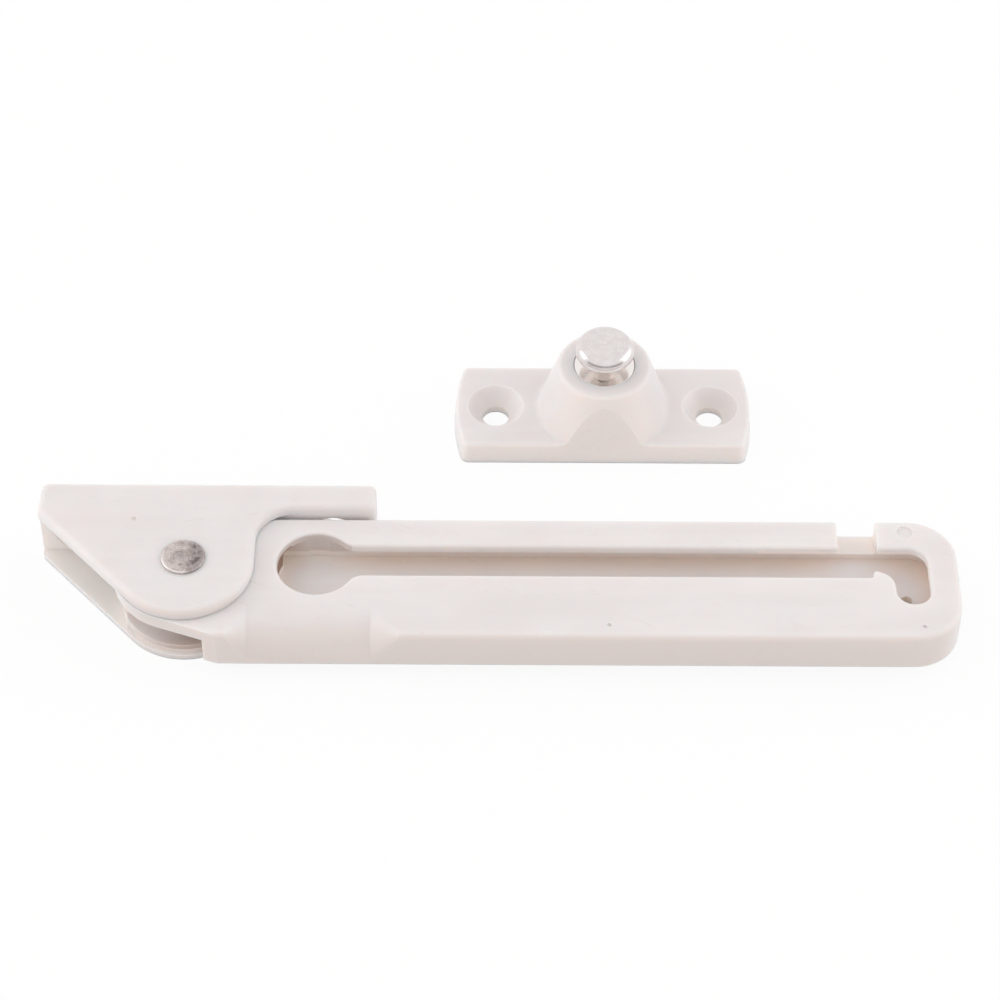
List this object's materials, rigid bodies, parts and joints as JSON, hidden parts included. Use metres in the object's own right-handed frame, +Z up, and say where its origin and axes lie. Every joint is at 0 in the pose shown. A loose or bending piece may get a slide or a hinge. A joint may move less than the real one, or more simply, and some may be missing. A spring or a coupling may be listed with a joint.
{
  "type": "window stay",
  "caption": "Plastic window stay: a slotted arm folds on its rivet between the cheeks of a screw-on bracket, beside a keeper plate whose metal stud runs and locks in the arm's slot.",
  "frame": {"origin": "middle of the footprint of the whole set, on the surface that it lies on", "axes": "+X along the folded arm towards its free end, +Y towards the bracket's wall face and the keeper plate, +Z up along the rivet's axis"},
  "size_m": [0.1552, 0.068, 0.0202],
  "materials": {
    "bracket_plastic": "satin white moulding",
    "arm_plastic": "satin white moulding",
    "rivet_steel": "plated steel, marked by the riveting tool",
    "keeper_plastic": "satin white moulding",
    "stud_steel": "turned and polished"
  },
  "bodies": {
    "base": {"bracket": "bracket_plastic", "pivot_rivet": "rivet_steel", "keeper_plate": "keeper_plastic", "keeper_stud": "stud_steel"},
    "arm": {"stay_arm": "arm_plastic"}
  },
  "joints": [
    {"name": "arm_swing", "type": "hinge", "parent": "base", "child": "arm", "pos_m": [-0.0521, -0.0192, 0.0065], "axis": [0, 0, 1], "range_deg": [-154, 0]}
  ]
}
